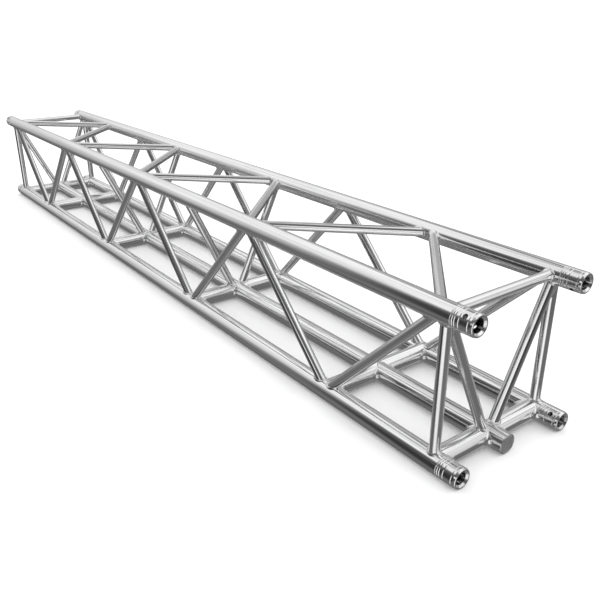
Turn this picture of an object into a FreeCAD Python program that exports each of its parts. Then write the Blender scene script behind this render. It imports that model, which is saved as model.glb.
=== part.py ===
import FreeCAD, Part
import math
import os

# Five-chord aluminium lighting truss section, welded, with conical coupler sockets at both ends.
# Frame: X runs along the truss towards end A, Y runs from the front face to the rear face, Z is up.
# The origin is at the middle of the underside. All lengths are in millimetres.

# Overall size
LENGTH = 3000.0
SECTION = 400.0

# Tubes
CHORD_DIAMETER = 50.0
CHORD_WALL = 3.0
CROSS_TUBE_WALL = 3.0
BRACE_DIAMETER = 25.0
BRACE_WALL = 3.0

# Layout along the truss, where node 0 is the first meeting point of the diagonals at end A
END_FRAME_SETBACK = 80.0
DIAGONAL_SETBACK = 93.0
DIAGONALS_PER_FACE = 8
CROSS_TUBE_NODES = (1, 3, 5, 7)
INNER_BRACE_BAYS = (2, 3)
MIDDLE_CHORD_SETBACK = 22.0
INNER_BRACE_FOOT_OFFSET = 10.5
SADDLE_TIP_TRIM = 6.5

# Coupler socket, with depths measured from its end face
SOCKET_BODY_LENGTH = 53.0
SPIGOT_LENGTH = 22.0
SPIGOT_POCKET_RADIUS = 14.0
SPIGOT_POCKET_LENGTH = 16.0
MOUTH_RADIUS = 19.8
COUNTERSINK_DEPTH = 4.2
CONE_RADIUS = 15.6
CONE_FLOOR_RADIUS = 12.6
CONE_DEPTH = 50.0
NOSE_LENGTH = 5.5
NOSE_DROP = 2.2
NOSE_TIP_LENGTH = 1.0
NOSE_TIP_DROP = 0.9
GROOVE_DEPTHS = (10.9, 32.8, 42.3, 47.8)
GROOVE_WIDTH = 2.8
GROOVE_FLOOR_WIDTH = 0.6
GROOVE_RADIAL_DEPTH = 1.1
WELD_BEVEL = 1.5
PIN_HOLE_RADIUS = 5.75
PIN_HOLE_DEPTH = 23.0

# Closing cap of the middle chord
CAP_THICKNESS = 4.0
CAP_EDGE_BREAK = 0.6
TUBE_EDGE_BREAK = 0.5

# Derived positions
CHORD_RADIUS = CHORD_DIAMETER / 2
BRACE_RADIUS = BRACE_DIAMETER / 2
CHORD_BORE_RADIUS = CHORD_RADIUS - CHORD_WALL
HALF_WIDTH = SECTION / 2 - CHORD_RADIUS
BOTTOM_Z = CHORD_RADIUS
TOP_Z = SECTION - CHORD_RADIUS
END_X = LENGTH / 2
END_FRAME_X = END_X - END_FRAME_SETBACK
NODE_PITCH = (LENGTH - 2 * DIAGONAL_SETBACK) / DIAGONALS_PER_FACE

CORNERS = {
    "top_front": (-HALF_WIDTH, TOP_Z),
    "top_rear": (HALF_WIDTH, TOP_Z),
    "bottom_front": (-HALF_WIDTH, BOTTOM_Z),
    "bottom_rear": (HALF_WIDTH, BOTTOM_Z),
}
ENDS = {"end_a": 1, "end_b": -1}
SIDES = {"front": -1, "rear": 1}


def node_x(index):
    """Distance along the truss of one diagonal node, counted from end A."""
    return END_X - DIAGONAL_SETBACK - index * NODE_PITCH


def rod(start, end, radius):
    """A solid round bar between two points."""
    run = end - start
    return Part.makeCylinder(radius, run.Length, start, run)


def tube(start, end, radius, wall):
    """A round tube between two points."""
    return rod(start, end, radius).cut(rod(start, end, radius - wall))


def along_x(y, z, radius=CHORD_RADIUS):
    """A solid bar as long as the truss, used to shape what butts against a chord."""
    return rod(FreeCAD.Vector(-END_X, y, z), FreeCAD.Vector(END_X, y, z), radius)


def corner_point(corner, x):
    """A point on the axis of one corner chord."""
    y, z = CORNERS[corner]
    return FreeCAD.Vector(x, y, z)


def cope(shape, *bars):
    """Cuts a tube back to the bars it meets and keeps the length between them."""
    for bar in bars:
        shape = shape.cut(bar)
    return max(shape.Solids, key=lambda solid: solid.Volume)


def turned(points, y, z):
    """A solid of revolution about a line along X, from (x, radius) points."""
    corners = [FreeCAD.Vector(x, y, z + radius) for x, radius in points]
    outline = Part.makePolygon(corners + corners[:1])
    axis_point = FreeCAD.Vector(0, y, z)
    return Part.Face(outline).revolve(axis_point, FreeCAD.Vector(1, 0, 0), 360)


def open_chord(y, z):
    """A corner chord: a plain tube with its ends bevelled for the socket welds."""
    end = END_X - SOCKET_BODY_LENGTH
    points = [
        (-end, CHORD_BORE_RADIUS),
        (end, CHORD_BORE_RADIUS),
        (end, CHORD_RADIUS - WELD_BEVEL),
        (end - WELD_BEVEL, CHORD_RADIUS),
        (WELD_BEVEL - end, CHORD_RADIUS),
        (-end, CHORD_RADIUS - WELD_BEVEL),
    ]
    return turned(points, y, z)


def middle_chord():
    """The middle bottom chord: a shorter tube whose ends take closing caps."""
    end = END_X - MIDDLE_CHORD_SETBACK
    points = []
    for side in (-1, 1):
        rim = [
            (side * (end - CAP_EDGE_BREAK), CHORD_BORE_RADIUS),
            (side * end, CHORD_BORE_RADIUS + CAP_EDGE_BREAK),
            (side * end, CHORD_RADIUS - TUBE_EDGE_BREAK),
            (side * (end - TUBE_EDGE_BREAK), CHORD_RADIUS),
        ]
        points += rim if side < 0 else reversed(rim)
    return turned(points, 0, BOTTOM_Z)


def end_cap(sign):
    """A round disc set flush into one end of the middle chord, its outer edge bevelled."""
    outer = END_X - MIDDLE_CHORD_SETBACK
    points = [
        (sign * (outer - CAP_THICKNESS), 0),
        (sign * (outer - CAP_THICKNESS), CHORD_BORE_RADIUS),
        (sign * (outer - CAP_EDGE_BREAK), CHORD_BORE_RADIUS),
        (sign * outer, CHORD_BORE_RADIUS - CAP_EDGE_BREAK),
        (sign * outer, 0),
    ]
    return turned(points, 0, BOTTOM_Z)


def socket_outline():
    """Half section of a coupler socket as (depth, radius) points, hollowed from both ends."""
    back = SOCKET_BODY_LENGTH + SPIGOT_LENGTH
    points = [(0, MOUTH_RADIUS), (0, CHORD_RADIUS - NOSE_DROP)]
    points.append((NOSE_TIP_LENGTH, CHORD_RADIUS - NOSE_DROP + NOSE_TIP_DROP))
    points.append((NOSE_LENGTH, CHORD_RADIUS))
    for depth in GROOVE_DEPTHS:
        points.append((depth - GROOVE_WIDTH / 2, CHORD_RADIUS))
        points.append((depth - GROOVE_FLOOR_WIDTH / 2, CHORD_RADIUS - GROOVE_RADIAL_DEPTH))
        points.append((depth + GROOVE_FLOOR_WIDTH / 2, CHORD_RADIUS - GROOVE_RADIAL_DEPTH))
        points.append((depth + GROOVE_WIDTH / 2, CHORD_RADIUS))
    points.append((SOCKET_BODY_LENGTH - WELD_BEVEL, CHORD_RADIUS))
    points.append((SOCKET_BODY_LENGTH, CHORD_RADIUS - WELD_BEVEL))
    points.append((SOCKET_BODY_LENGTH, CHORD_BORE_RADIUS))
    points.append((back, CHORD_BORE_RADIUS))
    points.append((back, SPIGOT_POCKET_RADIUS))
    points.append((back - SPIGOT_POCKET_LENGTH, SPIGOT_POCKET_RADIUS))
    points.append((back - SPIGOT_POCKET_LENGTH, 0))
    points.append((CONE_DEPTH, 0))
    points.append((CONE_DEPTH, CONE_FLOOR_RADIUS))
    points.append((COUNTERSINK_DEPTH, CONE_RADIUS))
    return points


def socket(corner, sign):
    """A turned coupler socket with its countersunk cone, ring grooves and cross-pin hole."""
    y, z = CORNERS[corner]
    body = turned([(sign * (END_X - depth), radius) for depth, radius in socket_outline()], y, z)
    centre = FreeCAD.Vector(sign * (END_X - PIN_HOLE_DEPTH), y, z)
    outward = FreeCAD.Vector(0, math.copysign(1, y), math.copysign(1, z - SECTION / 2))
    reach = outward.normalize() * CHORD_DIAMETER
    return body.cut(rod(centre - reach, centre + reach, PIN_HOLE_RADIUS))


def face_diagonals():
    """The zigzag braces of the front, rear and top faces."""
    parts = {}
    for index in range(DIAGONALS_PER_FACE):
        even_first = index % 2 == 0
        for side in SIDES:
            ends = ["top_" + side, "bottom_" + side]
            parts["diagonal_%s_%d" % (side, index + 1)] = diagonal(ends, index, even_first)
        ends = ["top_front", "top_rear"]
        parts["diagonal_top_%d" % (index + 1)] = diagonal(ends, index, even_first)
    return parts


def diagonal(ends, index, even_first):
    """One brace between two chords, from one node to the next."""
    first, second = ends if even_first else reversed(ends)
    start = corner_point(first, node_x(index))
    end = corner_point(second, node_x(index + 1))
    bars = [along_x(*CORNERS[corner]) for corner in ends]
    return cope(tube(start, end, BRACE_RADIUS, BRACE_WALL), *bars)


def end_frame_tube(first, second, x):
    """A straight brace between two corner chords, square to both."""
    bars = [along_x(*CORNERS[corner]) for corner in (first, second)]
    start = corner_point(first, x)
    end = corner_point(second, x)
    return cope(tube(start, end, BRACE_RADIUS, BRACE_WALL), *bars)


def cross_bar(x):
    """The full outline of a cross tube line, used to shape the braces that stand on it."""
    start = corner_point("bottom_front", x)
    end = corner_point("bottom_rear", x)
    return rod(start, end, CHORD_RADIUS)


def cross_tubes(x):
    """Two short tubes in one line, each between an outer bottom chord and the middle one."""
    halves = []
    for side, sign in SIDES.items():
        outer = sign * (HALF_WIDTH - SADDLE_TIP_TRIM)
        inner = sign * SADDLE_TIP_TRIM
        start = FreeCAD.Vector(x, outer, BOTTOM_Z)
        end = FreeCAD.Vector(x, inner, BOTTOM_Z)
        bars = [along_x(*CORNERS["bottom_" + side]), along_x(0, BOTTOM_Z)]
        halves.append(cope(tube(start, end, CHORD_RADIUS, CROSS_TUBE_WALL), *bars))
    return Part.makeCompound(halves)


def inner_brace(side, x):
    """A sloping brace inside the truss, from a top chord down beside the middle chord."""
    sign = SIDES[side]
    start = corner_point("top_" + side, x)
    end = FreeCAD.Vector(x, sign * INNER_BRACE_FOOT_OFFSET, BOTTOM_Z)
    bars = [along_x(*CORNERS["top_" + side]), along_x(0, BOTTOM_Z), cross_bar(x)]
    if abs(x) == END_FRAME_X:
        foot = corner_point("bottom_" + side, x)
        bars.append(rod(start, foot, BRACE_RADIUS))
    return cope(tube(start, end, BRACE_RADIUS, BRACE_WALL), *bars)


def end_post(side, x):
    """An upright brace of an end frame, standing on the bottom chord and the cross tube."""
    return cope(end_frame_tube("top_" + side, "bottom_" + side, x), cross_bar(x))


def build():
    """All the pieces of the truss by name."""
    parts = {}
    for corner, (y, z) in CORNERS.items():
        parts["chord_" + corner] = open_chord(y, z)
    parts["chord_bottom_middle"] = middle_chord()
    for end_name, sign in ENDS.items():
        for corner in CORNERS:
            parts["socket_%s_%s" % (corner, end_name)] = socket(corner, sign)
        x = sign * END_FRAME_X
        parts["middle_chord_cap_" + end_name] = end_cap(sign)
        parts["top_rail_" + end_name] = end_frame_tube("top_front", "top_rear", x)
        parts["cross_tubes_" + end_name] = cross_tubes(x)
        for side in SIDES:
            parts["end_post_%s_%s" % (side, end_name)] = end_post(side, x)
            parts["inner_brace_%s_%s" % (side, end_name)] = inner_brace(side, x)
    for bay, index in enumerate(CROSS_TUBE_NODES, start=1):
        parts["cross_tubes_bay_%d" % bay] = cross_tubes(node_x(index))
        if bay in INNER_BRACE_BAYS:
            for side in SIDES:
                parts["inner_brace_%s_bay_%d" % (side, bay)] = inner_brace(side, node_x(index))
    parts.update(face_diagonals())
    return parts


os.makedirs("parts", exist_ok=True)
for name, shape in build().items():
    shape.exportStep(os.path.join("parts", name + ".step"))
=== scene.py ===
import math
import random
from collections import namedtuple

import bmesh
import bpy
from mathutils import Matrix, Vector
from mathutils.kdtree import KDTree


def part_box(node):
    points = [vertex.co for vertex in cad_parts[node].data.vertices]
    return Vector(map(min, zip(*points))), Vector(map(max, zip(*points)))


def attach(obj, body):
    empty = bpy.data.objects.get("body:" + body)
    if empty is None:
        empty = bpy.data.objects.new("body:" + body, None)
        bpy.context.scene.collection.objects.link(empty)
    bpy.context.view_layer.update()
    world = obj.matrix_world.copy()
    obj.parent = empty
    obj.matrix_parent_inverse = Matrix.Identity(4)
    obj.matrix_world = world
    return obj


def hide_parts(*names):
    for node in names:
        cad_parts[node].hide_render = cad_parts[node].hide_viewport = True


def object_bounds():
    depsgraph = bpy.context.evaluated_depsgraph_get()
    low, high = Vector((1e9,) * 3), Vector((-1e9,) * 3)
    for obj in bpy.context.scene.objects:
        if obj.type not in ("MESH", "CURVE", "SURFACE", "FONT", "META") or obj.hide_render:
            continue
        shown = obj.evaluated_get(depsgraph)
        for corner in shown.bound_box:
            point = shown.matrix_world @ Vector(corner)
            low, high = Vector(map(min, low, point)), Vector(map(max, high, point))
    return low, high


# Looks of a welded aluminium box truss section. Lengths are in metres, in the frame's own axes:
# X runs along the truss towards end A, Y from the front face to the rear face, Z is up.

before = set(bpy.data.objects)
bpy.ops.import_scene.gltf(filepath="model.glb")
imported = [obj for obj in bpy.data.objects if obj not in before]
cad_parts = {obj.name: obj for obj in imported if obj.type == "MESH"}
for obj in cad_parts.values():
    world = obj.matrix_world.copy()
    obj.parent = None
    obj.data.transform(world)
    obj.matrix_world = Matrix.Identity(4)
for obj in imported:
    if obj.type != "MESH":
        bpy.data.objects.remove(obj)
CAD_LOW, CAD_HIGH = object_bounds()
BODY = "root"
RANDOM_SEED = 7
random.seed(RANDOM_SEED)

# Tubes
CHORD_RADIUS = 0.025
CHORD_WALL = 0.003
BRACE_RADIUS = 0.0125
BRACE_WALL = 0.003
CROSS_TUBE_WALL = 0.003
SADDLE_TIP_TRIM = 0.0065
INNER_FOOT_OFFSET = 0.0105
SEAM_BEVEL = 0.0015
CAP_EDGE_BREAK = 0.0006
TUBE_EDGE_BREAK = 0.0005

# Mesh fineness
CHORD_SIDES = 96
CROSS_SIDES = 96
BRACE_SIDES = 56
CHORD_STEP = 0.05
CHORD_FINE_STEP = 0.005
CHORD_FINE_MARGIN = 0.035
# How far a tube's rings are from its ends.
FOOT_RINGS = (0.0, 0.002, 0.005, 0.009, 0.014, 0.02, 0.03, 0.045)

# Welds at the foot of a tube. Leg along each surface where they meet square, and where they run on
# into each other; extra length along both tubes in the tight corners between them; height over a
# straight line between the two toes; and how far the face sinks from that line (0) towards a curve
# that runs smoothly into both surfaces (1). Then the welds that run straight round a chord, and what
# all welds share.
WeldForm = namedtuple("WeldForm", "square_leg flush_leg flare crown hollow")
BRACE_WELD = WeldForm(square_leg=0.0046, flush_leg=0.001, flare=0.0, crown=0.0006, hollow=0.2)
CROSS_WELD = WeldForm(square_leg=0.0018, flush_leg=0.003, flare=0.016, crown=0.0, hollow=1.0)
# The flare has faded out where the surfaces open this far, from 0 at square to 1 at flush.
FLARE_OPENING = 0.5
GIRTH_HALF_WIDTH = 0.0011
GIRTH_TOE_DEPTH = 0.0005
GIRTH_CROWN = 0.00035
TOE_BURIAL = 0.00008
ROOT_BURIAL = 0.0012
WELD_STEP = 0.0006
WELD_SIDES = 10
RIPPLE_PITCH = 0.0027
RIPPLE_HEIGHT = 0.00009
RIPPLE_SWEEP = 1.6
LEG_WANDER = 0.08
WANDER_WAVES = 7
WANDER_HEIGHT = (0.3, 1)
FLOOR_CLEARANCE = 0.0003

# Surface marks: how far the heat of a weld shows, and how far the pattern of the marks is moved
# at random along and round each tube, so that no two tubes are marked alike.
HEAT_REACH = 0.009
GRAIN_SHIFT = (9, 1, 1)


# ---------------------------------------------------------------- frame

def centre_of(node):
    """Middle of a node's box."""
    low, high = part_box(node)
    return (low + high) / 2


CORNERS = ("top_front", "top_rear", "bottom_front", "bottom_rear")
CHORDS = CORNERS + ("bottom_middle",)
AXES = {name: centre_of("chord_" + name) for name in CHORDS}
END_X = CAD_HIGH.x
ENDS = {"end_a": 1, "end_b": -1}
NODE_PITCH = centre_of("diagonal_top_1").x - centre_of("diagonal_top_2").x


def chord_point(name, x):
    """A point on the axis of a chord."""
    return Vector((x, AXES[name].y, AXES[name].z))


# ---------------------------------------------------------------- bars and tubes

class Bar:
    """A straight round bar between two points. Tubes are cut to fit the bars that they meet."""

    def __init__(self, start, end, radius):
        self.start = start
        self.run = end - start
        self.along = self.run.normalized()
        self.radius = radius

    def normal(self, point):
        """Direction straight out from the bar's axis at a point."""
        offset = point - self.start
        return (offset - offset.project(self.along)).normalized()

    def on_surface(self, point, burial=0.0):
        """The nearest place to a point on the bar's surface, or a little way under it."""
        axis_point = self.start + (point - self.start).project(self.along)
        return axis_point + (self.radius - burial) * self.normal(point)

    def entry(self, point, travel):
        """How far along travel a line from point goes before it enters the bar, or None."""
        across = travel - travel.project(self.along)
        offset = point - self.start
        offset -= offset.project(self.along)
        a = across.length_squared
        b = offset.dot(across)
        root = b * b - a * (offset.length_squared - self.radius ** 2)
        if root < 0:
            return None
        distance = (-b - math.sqrt(root)) / a
        reached = (point + distance * travel - self.start).dot(self.along)
        return distance if 0 <= reached <= self.run.length else None


class Tube(Bar):
    """A tube whose ends are cut to the bars that they meet.

    A line of its wall that misses all of them runs to the tube's limit, at the first of them.
    """

    def __init__(self, start, end, radius, wall, start_bars, end_bars, trim=0.0):
        super().__init__(start, end, radius)
        self.wall = wall
        self.bars = {-1: start_bars, 1: end_bars}
        self.middle = (start + end) / 2
        self.limit = self.run.length / 2 - trim
        turn = self.along.to_track_quat("Z", "Y")
        self.side = turn @ Vector((1, 0, 0))
        self.up = turn @ Vector((0, 1, 0))

    def radial(self, angle):
        """Unit direction out from the axis at an angle round the tube."""
        return math.cos(angle) * self.side + math.sin(angle) * self.up

    def foot(self, sign, angle, radius):
        """How far from the middle one line of the wall reaches at one end, and the bar it stops at."""
        point = self.middle + radius * self.radial(angle)
        stops = [(self.limit, self.bars[sign][0])]
        for bar in self.bars[sign]:
            distance = bar.entry(point, sign * self.along)
            if distance is not None:
                stops.append((distance, bar))
        return min(stops, key=lambda stop: stop[0])


CHORD_BARS = {
    name: Bar(chord_point(name, CAD_LOW.x), chord_point(name, CAD_HIGH.x), CHORD_RADIUS)
    for name in CHORDS
}


def square_brace(first, second, x, extra=()):
    """A brace straight across between two chords. The extra bars also meet its second end."""
    start, end = chord_point(first, x), chord_point(second, x)
    end_bars = [CHORD_BARS[second], *extra]
    return Tube(start, end, BRACE_RADIUS, BRACE_WALL, [CHORD_BARS[first]], end_bars)


def diagonal(face, number):
    """One zigzag brace of the front, rear or top face, in its row counted from end A."""
    if face == "top":
        chords = ["top_front", "top_rear"]
    else:
        chords = ["top_" + face, "bottom_" + face]
    if number % 2 == 0:
        chords.reverse()
    middle = centre_of("diagonal_%s_%d" % (face, number)).x
    start = chord_point(chords[0], middle + NODE_PITCH / 2)
    end = chord_point(chords[1], middle - NODE_PITCH / 2)
    bars = [[CHORD_BARS[name]] for name in chords]
    return Tube(start, end, BRACE_RADIUS, BRACE_WALL, *bars)


def cross_bar(x):
    """The line of cross tube between the two bottom corner chords."""
    return Bar(chord_point("bottom_front", x), chord_point("bottom_rear", x), CHORD_RADIUS)


def cross_tube(side, x):
    """One half of a line of cross tube, from an outer bottom chord to the middle one."""
    names = ("bottom_" + side, "bottom_middle")
    start, end = (chord_point(name, x) for name in names)
    bars = [[CHORD_BARS[name]] for name in names]
    return Tube(start, end, CHORD_RADIUS, CROSS_TUBE_WALL, *bars, trim=SADDLE_TIP_TRIM)


def inner_brace(side, x, in_end_frame):
    """A sloping brace from a top chord down to the middle chord and the cross tube."""
    top = chord_point("top_" + side, x)
    outward = math.copysign(INNER_FOOT_OFFSET, top.y)
    foot = chord_point("bottom_middle", x) + Vector((0, outward, 0))
    top_bars = [CHORD_BARS["top_" + side]]
    if in_end_frame:
        top_bars.append(Bar(top, chord_point("bottom_" + side, x), BRACE_RADIUS))
    foot_bars = [CHORD_BARS["bottom_middle"], cross_bar(x)]
    return Tube(top, foot, BRACE_RADIUS, BRACE_WALL, top_bars, foot_bars)


def all_tubes():
    """Every brace and cross tube, as lists of tubes by the name of the node that they stand for."""
    tubes = {}
    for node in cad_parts:
        x = centre_of(node).x
        side = "front" if "_front" in node else "rear"
        in_end_frame = "_end_" in node
        if node.startswith("diagonal_"):
            face, number = node.split("_")[1:]
            tubes[node] = [diagonal(face, int(number))]
        elif node.startswith("end_post_"):
            tubes[node] = [square_brace("top_" + side, "bottom_" + side, x, [cross_bar(x)])]
        elif node.startswith("top_rail_"):
            tubes[node] = [square_brace("top_front", "top_rear", x)]
        elif node.startswith("cross_tubes_"):
            tubes[node] = [cross_tube("front", x), cross_tube("rear", x)]
        elif node.startswith("inner_brace_"):
            tubes[node] = [inner_brace(side, x, in_end_frame)]
    return tubes


# ---------------------------------------------------------------- welds

# A closed weld: points along its root line, at each the section's two toes and the way out, and its
# crown and hollow as in a WeldForm.
Seam = namedtuple("Seam", "points toes outs crown hollow")


def foot_seam(tube, sign, form):
    """The fillet weld where a tube's outer wall meets the bars at one of its ends."""
    inward = -sign * tube.along
    count = round(math.tau * tube.radius / WELD_STEP)
    points, walls, bars = [], [], []
    for step in range(count):
        angle = math.tau * step / count
        distance, bar = tube.foot(sign, angle, tube.radius)
        walls.append(tube.radial(angle))
        points.append(tube.middle + tube.radius * walls[-1] + sign * distance * tube.along)
        bars.append(bar)
    faces = smoothed([bar.normal(point) for bar, point in zip(bars, points)])
    tangents = smoothed([points[(i + 1) % count] - points[i - 1] for i in range(count)])
    swell = wander(count)
    tube_toes, bar_toes, outs = [], [], []
    for i, point in enumerate(points):
        tangent, face = tangents[i].normalized(), faces[i].normalized()
        opening = max(0.0, walls[i].dot(face))
        leg = form.square_leg + (form.flush_leg - form.square_leg) * opening ** 2
        reach = sign * leg * (1 + LEG_WANDER * swell[i])
        flare = form.flare * max(0.0, 1 - opening / FLARE_OPENING)
        bar_along = bars[i].along
        up_tube = point + reach * tangent.cross(walls[i])
        up_tube += flare * face.dot(inward) * inward
        along_bar = point - reach * tangent.cross(face)
        along_bar += flare * walls[i].dot(bar_along) * bar_along
        tube_toes.append(tube.on_surface(up_tube, TOE_BURIAL))
        bar_toes.append(bars[i].on_surface(along_bar, TOE_BURIAL))
        outs.append((walls[i] + face).normalized())
    toes = list(zip(tube_toes, smoothed(bar_toes)))
    return Seam(points, toes, smoothed(outs), form.crown, form.hollow)


def girth_seam(centre):
    """The weld straight round a chord that fills the groove between it and a socket."""
    count = round(math.tau * CHORD_RADIUS / WELD_STEP)
    outs = []
    for step in range(count):
        angle = math.tau * step / count
        outs.append(Vector((0, math.cos(angle), math.sin(angle))))
    aside = Vector((GIRTH_HALF_WIDTH, 0, 0))
    depth = CHORD_RADIUS - GIRTH_TOE_DEPTH
    toes = [(centre + depth * out - aside, centre + depth * out + aside) for out in outs]
    points = [centre + (CHORD_RADIUS - SEAM_BEVEL) * out for out in outs]
    return Seam(points, toes, outs, GIRTH_CROWN, hollow=0.0)


def smoothed(values, passes=3):
    """Values round a closed loop, each averaged with its neighbours."""
    for _ in range(passes):
        values = [
            (values[i - 1] + 2 * value + values[(i + 1) % len(values)]) * 0.25
            for i, value in enumerate(values)
        ]
    return values


def wander(count):
    """Slow random swelling round a closed loop, between about -1 and 1."""
    waves = []
    for n in range(1, WANDER_WAVES + 1):
        shift = random.uniform(0, math.tau)
        waves.append((n, shift, random.uniform(*WANDER_HEIGHT) / n))
    highest = sum(height for _, _, height in waves)
    result = []
    for step in range(count):
        turn = math.tau * step / count
        swell = sum(height * math.sin(n * turn + shift) for n, shift, height in waves)
        result.append(swell / highest)
    return result


def add_weld(mesh, seam):
    """Sweeps a weld round a closed seam: a bowed, rippled face between its toes over a buried root.

    A hollow weld has fainter ripples, and a fully hollow one none.
    """
    lengths = [(point - seam.points[i - 1]).length for i, point in enumerate(seam.points)]
    ripples = round(sum(lengths) / RIPPLE_PITCH)
    height = RIPPLE_HEIGHT * (1 - seam.hollow)
    rings = []
    travelled = 0.0
    for i, point in enumerate(seam.points):
        travelled += lengths[i]
        turn = math.tau * ripples * travelled / sum(lengths)
        out = seam.outs[i].normalized()
        first, last = seam.toes[i]
        sink = seam.hollow * (point - (first + last) / 2) / 2
        ring = []
        for side in range(WELD_SIDES + 1):
            across = side / WELD_SIDES
            bow = 4 * across * (1 - across)
            ripple = height * math.cos(turn + RIPPLE_SWEEP * bow)
            place = first.lerp(last, across) + bow * (sink + (seam.crown + ripple) * out)
            place.z = max(place.z, CAD_LOW.z + FLOOR_CLEARANCE)
            ring.append(mesh.verts.new(place))
        root = point - ROOT_BURIAL * out
        root.z = max(root.z, CAD_LOW.z + FLOOR_CLEARANCE)
        ring.append(mesh.verts.new(root))
        rings.append(ring)
    join_rings(mesh, rings)
    sharpen([[ring[side] for ring in rings] for side in (0, WELD_SIDES)])


# ---------------------------------------------------------------- meshes

def join_rings(mesh, rings):
    """Quads between successive rings of vertices, and from the last back to the first."""
    for i in range(len(rings)):
        first, second = rings[i], rings[(i + 1) % len(rings)]
        for j in range(len(first)):
            k = (j + 1) % len(first)
            mesh.faces.new((first[j], first[k], second[k], second[j]))


def new_piece(name, mesh, material, stands_for=()):
    """Makes a finished piece from a bmesh, riding on the truss."""
    bmesh.ops.recalc_face_normals(mesh, faces=mesh.faces)
    data = bpy.data.meshes.new(name)
    mesh.to_mesh(data)
    mesh.free()
    data.materials.append(material)
    data.shade_smooth()
    piece = bpy.data.objects.new(name, data)
    bpy.context.scene.collection.objects.link(piece)
    if stands_for:
        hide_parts(*stands_for)
    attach(piece, BODY)


def sharpen(rings):
    """Marks the edges along some rings of vertices as sharp."""
    for ring in rings:
        members = set(ring)
        for vert in ring:
            for edge in vert.link_edges:
                if edge.other_vert(vert) in members:
                    edge.smooth = False


def grain_layers(mesh):
    """Layers for a tube's own coordinates and for how near each vertex is to a weld."""
    grain = mesh.verts.layers.float_vector.new("grain")
    heat = mesh.verts.layers.float.new("heat")
    return grain, heat


def grain_shift():
    """A random place in the pattern of marks."""
    return Vector([random.uniform(-reach, reach) for reach in GRAIN_SHIFT])


def near_weld(point, weld_points):
    """From 1 at a weld down to 0 well away from it."""
    distance = weld_points.find(point)[2]
    return math.exp(-((distance / HEAT_REACH) ** 2))


def add_tube(mesh, tube, sides, weld_points, layers):
    """A closed tube wall with coped ends, as rings from one end to the other and back inside."""
    grain, heat = layers
    shift = grain_shift()
    outer = [(1, offset) for offset in FOOT_RINGS] + [(-1, offset) for offset in FOOT_RINGS[::-1]]
    inner = [(-1, 0.0), (1, 0.0)]
    rings = []
    for radius, places in ((tube.radius, outer), (tube.radius - tube.wall, inner)):
        for sign, offset in places:
            ring = []
            for side in range(sides):
                angle = math.tau * side / sides
                distance = sign * (tube.foot(sign, angle, radius)[0] - offset)
                wall = radius * tube.radial(angle)
                vert = mesh.verts.new(tube.middle + wall + distance * tube.along)
                around = Vector((distance, radius * math.cos(angle), radius * math.sin(angle)))
                vert[grain] = around + shift
                vert[heat] = near_weld(vert.co, weld_points)
                ring.append(vert)
            rings.append(ring)
    join_rings(mesh, rings)
    sharpen((rings[0], rings[-1], rings[-2], rings[-3]))


def chord_stations(low, high, spans):
    """Places for rings along a chord, close together where something is welded to it."""
    stations = {low, high}
    steps = round((high - low) / CHORD_STEP)
    stations.update(low + (high - low) * i / steps for i in range(1, steps))
    for start, end in spans:
        fine = round((end - start) / CHORD_FINE_STEP)
        stations.update(start + (end - start) * i / fine for i in range(fine + 1))
    kept = []
    for station in sorted(s for s in stations if low <= s <= high):
        if not kept or station - kept[-1] > CHORD_FINE_STEP / 2:
            kept.append(station)
    kept[-1] = high
    return kept


def weld_spans(name, seams):
    """The stretches of X along a chord where something is welded to it, with a margin."""
    spans = []
    for seam in seams:
        place = seam.points[0]
        if (place - chord_point(name, place.x)).length < 2 * CHORD_RADIUS:
            xs = [point.x for point in seam.points]
            spans.append((min(xs) - CHORD_FINE_MARGIN, max(xs) + CHORD_FINE_MARGIN))
    return spans


def make_chord(name, seams, weld_points, material):
    """A fine mesh of one chord: a plain tube turned about its axis."""
    node = "chord_" + name
    low, high = (corner.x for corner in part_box(node))
    capped = name == "bottom_middle"
    drop = TUBE_EDGE_BREAK if capped else SEAM_BEVEL
    lead = CAP_EDGE_BREAK if capped else 0.0
    bore = CHORD_RADIUS - CHORD_WALL
    stations = chord_stations(low + drop, high - drop, weld_spans(name, seams))
    profile = [(low, bore + lead), (low, CHORD_RADIUS - drop)]
    profile += [(x, CHORD_RADIUS) for x in stations]
    profile += [(high, CHORD_RADIUS - drop), (high, bore + lead)]
    if capped:
        profile = [(low + lead, bore), *profile, (high - lead, bore)]
    mesh = bmesh.new()
    grain, heat = grain_layers(mesh)
    shift = grain_shift()
    axis = Vector((0, AXES[name].y, AXES[name].z))
    rings = []
    for x, radius in profile:
        ring = []
        for side in range(CHORD_SIDES):
            angle = math.tau * side / CHORD_SIDES
            place = Vector((x, radius * math.cos(angle), radius * math.sin(angle)))
            vert = mesh.verts.new(place + axis)
            vert[grain] = place + shift
            vert[heat] = near_weld(vert.co, weld_points)
            ring.append(vert)
        rings.append(ring)
    join_rings(mesh, rings)
    edges = 4 if capped else 3
    sharpen(rings[:edges] + rings[-edges:])
    new_piece(node + "_tube", mesh, material, [node])


# ---------------------------------------------------------------- node helpers

# Takes one range of a value to another, held at its ends.
Ramp = namedtuple("Ramp", "low high at_low at_high")
NOISE_LOW = 0.3
NOISE_HIGH = 0.7


def noise_ramp(at_low, at_high):
    """A ramp over the range that nearly all of a noise texture's values lie in."""
    return Ramp(NOISE_LOW, NOISE_HIGH, at_low, at_high)


def add(tree, kind, inputs=None, **settings):
    """Adds a shader node. Inputs go by socket name or number, as a value or as another socket."""
    made = tree.nodes.new("ShaderNode" + kind)
    for name, value in settings.items():
        setattr(made, name, value)
    for name, value in (inputs or {}).items():
        if isinstance(value, bpy.types.NodeSocket):
            tree.links.new(value, made.inputs[name])
        else:
            made.inputs[name].default_value = value
    return made


def maths(tree, operation, *values):
    """The result of a Math node."""
    return add(tree, "Math", dict(enumerate(values)), operation=operation).outputs[0]


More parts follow.
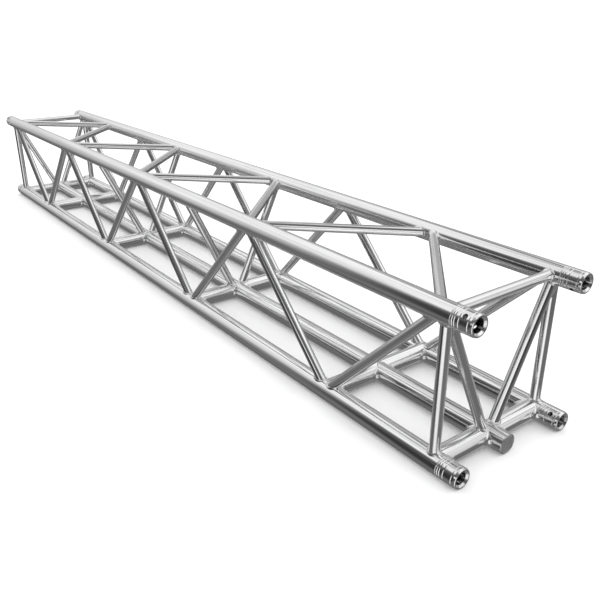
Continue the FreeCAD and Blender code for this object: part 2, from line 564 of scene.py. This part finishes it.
def product(tree, first, second):
    """Two values multiplied."""
    return maths(tree, "MULTIPLY", first, second)


def total(tree, first, *others):
    """Several values added up."""
    for other in others:
        first = maths(tree, "ADD", first, other)
    return first


def blend(tree, factor, first, second):
    """The first value where the factor is 0, and the second where it is 1."""
    return add(tree, "Mix", {0: factor, 2: first, 3: second}, data_type="FLOAT").outputs[0]


def scaled(tree, vector, factors):
    """A vector multiplied component by component."""
    inputs = {0: vector, 1: factors}
    return add(tree, "VectorMath", inputs, operation="MULTIPLY").outputs[0]


def on_line(tree, distance, scale):
    """Noise coordinates that change only with one distance."""
    return add(tree, "CombineXYZ", {0: product(tree, distance, scale)}).outputs[0]


def noise(tree, vector, detail=2.0, roughness=0.5):
    """Noise from 0 to 1 on coordinates that already hold its scale."""
    inputs = {"Vector": vector, "Scale": 1.0, "Detail": detail, "Roughness": roughness}
    return add(tree, "TexNoise", inputs).outputs["Fac"]


def remap(tree, value, ramp, smooth=False):
    """A value taken through a ramp."""
    kind = "SMOOTHSTEP" if smooth else "LINEAR"
    inputs = {0: value, 1: ramp.low, 2: ramp.high, 3: ramp.at_low, 4: ramp.at_high}
    return add(tree, "MapRange", inputs, interpolation_type=kind).outputs[0]


# ---------------------------------------------------------------- materials

COOL_TINT = 1.006

# Drawn tube. Scales are features per metre along the tube and round it.
CHORD_ROUGHNESS = 0.115
BRACE_ROUGHNESS = 0.11
CROSS_ROUGHNESS = 0.13
HAIRLINE_SCALE = (2.2, 1500, 1500)
BAND_SCALE = (1.1, 210, 210)
CLOUD_SCALE = (7, 26, 26)
SMEAR_SCALE = (60, 240, 240)
PIT_SCALE = (900, 900, 900)
HANDLED = Ramp(0.5, 0.72, 0.0, 1.0)
SMEARED = Ramp(0.3, 0.65, 0.45, 1.0)
BAND_ROUGHNESS = noise_ramp(-0.03, 0.05)
HAIRLINE_ROUGHNESS = noise_ramp(-0.02, 0.03)
HANDLED_ROUGHNESS = 0.05
ETCHED_ROUGHNESS = 0.1
BAND_TONE = Ramp(0.36, 0.64, 0.8, 0.99)
HAIRLINE_SHADE = Ramp(0.35, 0.7, 0.03, 0.0)
HANDLED_SHADE = 0.05
ETCHED_SHADE = 0.1
BAND_RELIEF = 7.0
DRAWN_RELIEF = 0.000008

# Turned socket. The tool's marks and ridges are counted along its path, scuffs along X, Y and Z.
MARK_SCALE = 2600
RIDGE_SCALE = 330
SCUFF_SCALE = (90, 160, 160)
SCUFFED = Ramp(0.5, 0.7, 0.0, 1.0)
RIDGE_ROUGHNESS = noise_ramp(0.1, 0.17)
MARK_ROUGHNESS = noise_ramp(-0.02, 0.03)
SCUFFED_ROUGHNESS = 0.09
RIDGE_TONE = noise_ramp(0.87, 0.94)
SCUFFED_SHADE = 0.07
RIDGE_RELIEF = 2.0
TURNED_RELIEF = 0.000004

# Painted shade in a socket, standing in for the dark that its deep bore holds: more with depth in the
# cone, and all over the wall of the pin hole, which is the only surface at that depth between the cone
# and the outside.
CONE_DEPTHS = Ramp(0.012, 0.036, 0.0, 1.0)
PIN_HOLE_DEPTHS = Ramp(0.014, 0.016, 0.0, 1.0)
PIN_HOLE_RADII = Ramp(0.015, 0.0156, 0.0, 1.0)
INNER_RADII = Ramp(0.0236, 0.024, 1.0, 0.0)
PAINTED_SHADE_TONE = Ramp(0.0, 1.0, 1.0, 0.1)

# Sawn cap.
SAW_SCALE = (20, 2200, 25)
STAIN_SCALE = (70, 70, 70)
STAIN_ROUGHNESS = noise_ramp(0.3, 0.42)
SAW_ROUGHNESS = noise_ramp(-0.03, 0.03)
STAIN_TONE = noise_ramp(0.78, 0.86)
SAW_TONE = noise_ramp(-0.02, 0.02)
SAWN_RELIEF = 0.000008

# Weld metal.
CAST_SCALE = (420, 420, 420)
SOOT_SCALE = (60, 60, 60)
SOOT_LOW = 0.45
SOOT_HIGH = 0.7
CAST_ROUGHNESS = noise_ramp(-0.03, 0.04)
CAST_TONE = noise_ramp(0.84, 0.9)

FLOOR_TONE = 0.93
FLOOR_ROUGHNESS = 0.9


def new_material(name):
    """A material with one fully metallic Principled shader, and its node tree."""
    material = bpy.data.materials.new(name)
    material.use_nodes = True
    shader = material.node_tree.nodes["Principled BSDF"]
    shader.inputs["Metallic"].default_value = 1.0
    return material, material.node_tree, shader


def connect(tree, shader, rough, tone, height, relief):
    """Gives a shader its roughness, a very slightly cool grey, and its relief in metres."""
    tint = add(tree, "CombineColor", {0: tone, 1: tone, 2: product(tree, tone, COOL_TINT)})
    raised = add(tree, "Bump", {"Height": height, "Distance": relief, "Strength": 1.0})
    tree.links.new(rough, shader.inputs["Roughness"])
    tree.links.new(tint.outputs[0], shader.inputs["Base Color"])
    tree.links.new(raised.outputs[0], shader.inputs["Normal"])


def drawn_aluminium(name, base_roughness):
    """Drawn tube: fine lines along it, soft bands, cloudy handling marks, duller beside the welds."""
    material, tree, shader = new_material(name)
    grain = add(tree, "Attribute", attribute_name="grain").outputs["Vector"]
    heat = add(tree, "Attribute", attribute_name="heat").outputs["Fac"]
    hairlines = noise(tree, scaled(tree, grain, HAIRLINE_SCALE), detail=1.0)
    bands = noise(tree, scaled(tree, grain, BAND_SCALE), detail=3.0, roughness=0.6)
    clouds = noise(tree, scaled(tree, grain, CLOUD_SCALE), detail=4.0, roughness=0.6)
    smears = noise(tree, scaled(tree, grain, SMEAR_SCALE), detail=3.0, roughness=0.65)
    pits = noise(tree, scaled(tree, grain, PIT_SCALE), detail=2.0)
    handled = remap(tree, clouds, HANDLED, smooth=True)
    etched = product(tree, heat, remap(tree, smears, SMEARED))
    rough = total(
        tree,
        base_roughness,
        remap(tree, bands, BAND_ROUGHNESS),
        remap(tree, hairlines, HAIRLINE_ROUGHNESS),
        product(tree, handled, HANDLED_ROUGHNESS),
        product(tree, etched, ETCHED_ROUGHNESS),
    )
    shade = total(
        tree,
        remap(tree, hairlines, HAIRLINE_SHADE),
        product(tree, handled, HANDLED_SHADE),
        product(tree, etched, ETCHED_SHADE),
    )
    tone = maths(tree, "SUBTRACT", remap(tree, bands, BAND_TONE), shade)
    height = total(tree, hairlines, product(tree, bands, BAND_RELIEF), product(tree, pits, etched))
    connect(tree, shader, rough, tone, height, DRAWN_RELIEF)
    return material


def radius_in_chord(tree, parts):
    """How far a place is from the axis of the nearest corner chord, from its X, Y and Z."""
    corner = AXES["top_rear"]
    middle_z = (corner.z + AXES["bottom_rear"].z) / 2
    rise = maths(tree, "ABSOLUTE", maths(tree, "SUBTRACT", parts[2], middle_z))
    across = maths(tree, "SUBTRACT", maths(tree, "ABSOLUTE", parts[1]), corner.y)
    upward = maths(tree, "SUBTRACT", rise, corner.z - middle_z)
    offset = add(tree, "CombineXYZ", {0: across, 1: upward}).outputs[0]
    return add(tree, "VectorMath", {0: offset}, operation="LENGTH").outputs["Value"]


def turned_aluminium(name):
    """Turned coupler socket: bright, with tool marks round its axis, scuffs, and painted shade inside
    the cone and pin hole.
    """
    material, tree, shader = new_material(name)
    place = add(tree, "TexCoord").outputs["Object"]
    parts = add(tree, "SeparateXYZ", {0: place}).outputs
    distance = maths(tree, "ABSOLUTE", parts[0])
    depth = maths(tree, "SUBTRACT", END_X, distance)
    radius = radius_in_chord(tree, parts)
    tool_path = maths(tree, "ADD", distance, radius)
    marks = noise(tree, on_line(tree, tool_path, MARK_SCALE), detail=1.0)
    ridges = noise(tree, on_line(tree, tool_path, RIDGE_SCALE), detail=2.0)
    scuffs = noise(tree, scaled(tree, place, SCUFF_SCALE), detail=5.0, roughness=0.65)
    scuffed = remap(tree, scuffs, SCUFFED, smooth=True)
    rough = total(
        tree,
        remap(tree, ridges, RIDGE_ROUGHNESS),
        product(tree, scuffed, SCUFFED_ROUGHNESS),
        remap(tree, marks, MARK_ROUGHNESS),
    )
    # Painted shade: the tone is darkened with depth in the cone and on the pin hole's wall.
    pin_hole = product(tree, remap(tree, depth, PIN_HOLE_DEPTHS), remap(tree, radius, PIN_HOLE_RADII))
    painted_shade = maths(tree, "MAXIMUM", remap(tree, depth, CONE_DEPTHS), pin_hole)
    painted_shade = product(tree, painted_shade, remap(tree, radius, INNER_RADII))
    shade = product(tree, scuffed, SCUFFED_SHADE)
    tone = maths(tree, "SUBTRACT", remap(tree, ridges, RIDGE_TONE), shade)
    tone = product(tree, tone, remap(tree, painted_shade, PAINTED_SHADE_TONE))
    height = total(tree, marks, product(tree, ridges, RIDGE_RELIEF))
    connect(tree, shader, rough, tone, height, TURNED_RELIEF)
    return material


def sawn_aluminium(name):
    """Flat closing disc: dull, with faint straight saw marks."""
    material, tree, shader = new_material(name)
    place = add(tree, "TexCoord").outputs["Object"]
    saw = noise(tree, scaled(tree, place, SAW_SCALE), detail=1.0)
    stains = noise(tree, scaled(tree, place, STAIN_SCALE), detail=4.0, roughness=0.6)
    rough = total(tree, remap(tree, stains, STAIN_ROUGHNESS), remap(tree, saw, SAW_ROUGHNESS))
    tone = total(tree, remap(tree, stains, STAIN_TONE), remap(tree, saw, SAW_TONE))
    connect(tree, shader, rough, tone, saw, SAWN_RELIEF)
    return material


def weld_metal(name, base_roughness, relief, soot_depth):
    """Cast weld metal: satin, a little uneven, with soot in patches."""
    material, tree, shader = new_material(name)
    place = add(tree, "TexCoord").outputs["Object"]
    cast = noise(tree, scaled(tree, place, CAST_SCALE), detail=3.0, roughness=0.6)
    soot = noise(tree, scaled(tree, place, SOOT_SCALE), detail=3.0, roughness=0.6)
    sooty = remap(tree, soot, Ramp(SOOT_LOW, SOOT_HIGH, 0.0, soot_depth))
    rough = total(tree, remap(tree, cast, CAST_ROUGHNESS), sooty, base_roughness)
    tone = maths(tree, "SUBTRACT", remap(tree, cast, CAST_TONE), sooty)
    connect(tree, shader, rough, tone, cast, relief)
    return material


def pale_floor(name):
    """Plain matt pale floor."""
    material = bpy.data.materials.new(name)
    material.use_nodes = True
    shader = material.node_tree.nodes["Principled BSDF"]
    shader.inputs["Base Color"].default_value = (FLOOR_TONE, FLOOR_TONE, FLOOR_TONE, 1)
    shader.inputs["Roughness"].default_value = FLOOR_ROUGHNESS
    shader.inputs["Specular IOR Level"].default_value = 0.0
    return material


# ---------------------------------------------------------------- studio

# Each soft box: the direction of its middle round Z, its half width, its lowest and highest
# elevation and the softness of its edges, all in degrees, then its brightness. The last is a dark
# flag. Where two overlap, the later one shows.
SoftBox = namedtuple("SoftBox", "turn half_width low high softness brightness")
SOFT_BOXES = {
    "behind_fill": SoftBox(118, 60, low=3, high=34, softness=11, brightness=0.42),
    "left_skirt": SoftBox(-174, 34, low=-9, high=30, softness=12, brightness=0.52),
    "left_lower": SoftBox(-177, 36, low=16, high=42, softness=12, brightness=0.86),
    "left_upper": SoftBox(-173, 43, low=34, high=57, softness=6, brightness=0.92),
    "left_top": SoftBox(-113, 18, low=56, high=73, softness=8, brightness=0.52),
    "left_crest": SoftBox(-152, 40, low=52, high=70, softness=7, brightness=0.78),
    "front_floor": SoftBox(-52, 24, low=-62, high=-30, softness=8, brightness=0.78),
    "front_wing": SoftBox(-57, 17, low=-43, high=-21, softness=5, brightness=0.92),
    "front_wing_end": SoftBox(-80, 8, low=-34, high=-21, softness=3, brightness=0.82),
    "front_strip": SoftBox(-48, 14.5, low=-30, high=28, softness=3, brightness=0.97),
    "front_bar": SoftBox(-64, 28, low=11, high=25, softness=4, brightness=0.88),
    "front_right": SoftBox(-27, 14, low=-15, high=-6, softness=3, brightness=0.68),
    "right_wall": SoftBox(60, 69, low=31, high=63, softness=6, brightness=0.98),
    "right_top": SoftBox(62, 76, low=60, high=84, softness=9, brightness=0.88),
    "right_edge": SoftBox(21, 14, low=4, high=34, softness=8, brightness=0.42),
    "right_lower": SoftBox(48, 18, low=-8, high=34, softness=8, brightness=0.70),
    "right_skirt": SoftBox(90, 22, low=-52, high=-20, softness=8, brightness=0.36),
    "left_flag": SoftBox(-114, 14, low=-33, high=6, softness=5, brightness=0.03),
}
# Brightness of the rest of the studio, by the sine of the elevation.
STUDIO_SHADES = (
    (-1.0, 0.24), (-0.93, 0.18), (-0.8, 0.14), (-0.65, 0.13), (-0.5, 0.16), (-0.27, 0.12),
    (-0.12, 0.06), (0.06, 0.035), (0.3, 0.075), (0.7, 0.105), (0.92, 0.17), (0.97, 0.27), (1.0, 1.0),
)
STUDIO_GAIN = 1.08
# What the floor is lit with and what the camera sees behind it, in place of the studio.
AMBIENT = 0.95
BACKDROP = 1.0


def studio_shade(tree, height):
    """Brightness of the studio where there is no soft box, for the sine of an elevation."""
    shades = add(tree, "ValToRGB", {0: remap(tree, height, Ramp(-1.0, 1.0, 0.0, 1.0))})
    stops = shades.color_ramp.elements
    stops.remove(stops[-1])
    for i, (sine, level) in enumerate(STUDIO_SHADES):
        stop = stops.new((sine + 1) / 2) if i else stops[0]
        stop.color = (level, level, level, 1)
    return shades.outputs[0]


def soft_box_mask(tree, flat, height, box):
    """From 0 outside a soft box to 1 inside it, for a direction."""
    turn = math.radians(box.turn)
    middle = (math.cos(turn), math.sin(turn), 0)
    facing = add(tree, "VectorMath", {0: flat, 1: middle}, operation="DOT_PRODUCT").outputs["Value"]
    outer = math.cos(math.radians(box.half_width + box.softness))
    inner = math.cos(math.radians(box.half_width - box.softness))
    mask = remap(tree, facing, Ramp(outer, inner, 0.0, 1.0), smooth=True)
    for edge, below, above in ((box.low, 0.0, 1.0), (box.high, 1.0, 0.0)):
        start = math.sin(math.radians(edge - box.softness))
        end = math.sin(math.radians(edge + box.softness))
        rise = remap(tree, height, Ramp(start, end, below, above), smooth=True)
        mask = product(tree, mask, rise)
    return mask


def make_studio():
    """A dim room with big soft boxes, which the metal reflects."""
    world = bpy.data.worlds.new("studio")
    bpy.context.scene.world = world
    world.use_nodes = True
    tree = world.node_tree
    direction = add(tree, "TexCoord").outputs["Generated"]
    height = add(tree, "SeparateXYZ", {0: direction}).outputs[2]
    flat = scaled(tree, direction, (1, 1, 0))
    flat = add(tree, "VectorMath", {0: flat}, operation="NORMALIZE").outputs[0]
    level = studio_shade(tree, height)
    for box in SOFT_BOXES.values():
        level = blend(tree, soft_box_mask(tree, flat, height, box), level, box.brightness)
    paths = add(tree, "LightPath").outputs
    shown = blend(tree, paths["Is Diffuse Ray"], product(tree, level, STUDIO_GAIN), AMBIENT)
    shown = blend(tree, paths["Is Camera Ray"], shown, BACKDROP)
    tree.links.new(shown, tree.nodes["Background"].inputs["Color"])


KEY_STRENGTH = 1.5
KEY_SPREAD = 150.0
FLOOR_SIZE = 2400.0
FLOOR_SEGMENTS = 8


def make_floor_and_key():
    """The floor, which the metal doesn't reflect, and a wide soft light over it for its shading."""
    mesh = bmesh.new()
    segments = {"x_segments": FLOOR_SEGMENTS, "y_segments": FLOOR_SEGMENTS}
    bmesh.ops.create_grid(mesh, size=FLOOR_SIZE / 2, **segments)
    data = bpy.data.meshes.new("floor")
    mesh.to_mesh(data)
    mesh.free()
    data.materials.append(pale_floor("floor_pale"))
    floor = bpy.data.objects.new("floor", data)
    floor.location.z = CAD_LOW.z
    floor.visible_glossy = False
    bpy.context.scene.collection.objects.link(floor)
    light = bpy.data.lights.new("key", "SUN")
    light.energy = KEY_STRENGTH
    light.angle = math.radians(KEY_SPREAD)
    key = bpy.data.objects.new("key", light)
    key.visible_glossy = False
    key.visible_camera = False
    bpy.context.scene.collection.objects.link(key)


# Camera: how far it is beyond end A, in front of the front face and above the top; how many degrees
# it is tilted up from straight down and turned left from the way Y runs; and its lens in mm.
CAMERA_BEYOND_END = 0.7111
CAMERA_BEFORE_FRONT = 0.9272
CAMERA_ABOVE_TOP = 0.5270
CAMERA_TILT = 66.41
CAMERA_TURN = 53.10
CAMERA_LENS = 40.94
SENSOR_WIDTH = 36.0
CAMERA_NEAR = 0.01


def make_camera():
    """The camera past end A, in front of the truss and above it."""
    data = bpy.data.cameras.new("camera")
    data.lens = CAMERA_LENS
    data.sensor_width = SENSOR_WIDTH
    data.clip_start = CAMERA_NEAR
    data.clip_end = FLOOR_SIZE
    camera = bpy.data.objects.new("camera", data)
    camera.location = (
        CAD_HIGH.x + CAMERA_BEYOND_END,
        CAD_LOW.y - CAMERA_BEFORE_FRONT,
        CAD_HIGH.z + CAMERA_ABOVE_TOP,
    )
    camera.rotation_euler = (math.radians(CAMERA_TILT), 0, math.radians(CAMERA_TURN))
    bpy.context.scene.collection.objects.link(camera)
    bpy.context.scene.camera = camera


# ---------------------------------------------------------------- build

def weld_group(node):
    """The name of the set of welds that the welds of a node's tubes belong to."""
    for start in ("diagonal_front", "diagonal_rear", "diagonal_top", "inner_brace", "cross_tubes"):
        if node.startswith(start):
            return "welds_" + start
    return "welds_end_frame_" + node[-1]


def find_welds(tubes):
    """Every weld of the truss, as lists of seams by the name of their set."""
    groups = {}
    for node, members in tubes.items():
        form = CROSS_WELD if node.startswith("cross_tubes") else BRACE_WELD
        found = [foot_seam(tube, sign, form) for tube in members for sign in (-1, 1)]
        groups.setdefault(weld_group(node), []).extend(found)
    for end_name, sign in ENDS.items():
        rings = []
        for corner in CORNERS:
            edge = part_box("chord_" + corner)[1 if sign > 0 else 0].x
            rings.append(girth_seam(chord_point(corner, edge)))
        groups["welds_sockets_" + end_name] = rings
    return groups


def find_weld_points(seams):
    """A search tree of the points along every weld."""
    points = [point for seam in seams for point in seam.points]
    found = KDTree(len(points))
    for i, point in enumerate(points):
        found.insert(point, i)
    found.balance()
    return found


def make_welds(groups):
    """One piece for each set of welds."""
    bead = weld_metal("weld_metal_bead", base_roughness=0.24, relief=0.00003, soot_depth=0.13)
    fillet = weld_metal("weld_metal_fillet", base_roughness=0.2, relief=0.000002, soot_depth=0.02)
    for name, seams in groups.items():
        mesh = bmesh.new()
        for seam in seams:
            add_weld(mesh, seam)
        new_piece(name, mesh, fillet if "cross" in name else bead)


def make_tubes(tubes, weld_points):
    """A fine mesh for each brace and each line of cross tube."""
    brace_metal = drawn_aluminium("drawn_aluminium_brace", BRACE_ROUGHNESS)
    cross_metal = drawn_aluminium("drawn_aluminium_cross", CROSS_ROUGHNESS)
    for node, members in tubes.items():
        crossing = node.startswith("cross_tubes")
        sides = CROSS_SIDES if crossing else BRACE_SIDES
        metal = cross_metal if crossing else brace_metal
        mesh = bmesh.new()
        layers = grain_layers(mesh)
        for tube in members:
            add_tube(mesh, tube, sides, weld_points, layers)
        new_piece(node + "_tube", mesh, metal, [node])


def finish_kept_nodes():
    """New metals for the nodes that keep their own shape."""
    metals = {
        "socket_": turned_aluminium("turned_aluminium"),
        "middle_chord_cap_": sawn_aluminium("sawn_aluminium"),
    }
    for node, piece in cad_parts.items():
        for start, metal in metals.items():
            if node.startswith(start):
                piece.data.materials[0] = metal


def build_truss():
    """Every piece of the truss."""
    tubes = all_tubes()
    groups = find_welds(tubes)
    seams = [seam for found in groups.values() for seam in found]
    weld_points = find_weld_points(seams)
    make_welds(groups)
    make_tubes(tubes, weld_points)
    chord_metal = drawn_aluminium("drawn_aluminium_chord", CHORD_ROUGHNESS)
    for name in CHORDS:
        make_chord(name, seams, weld_points, chord_metal)
    finish_kept_nodes()


build_truss()
make_studio()
make_floor_and_key()
make_camera()
bpy.context.scene.view_settings.view_transform = "Standard"
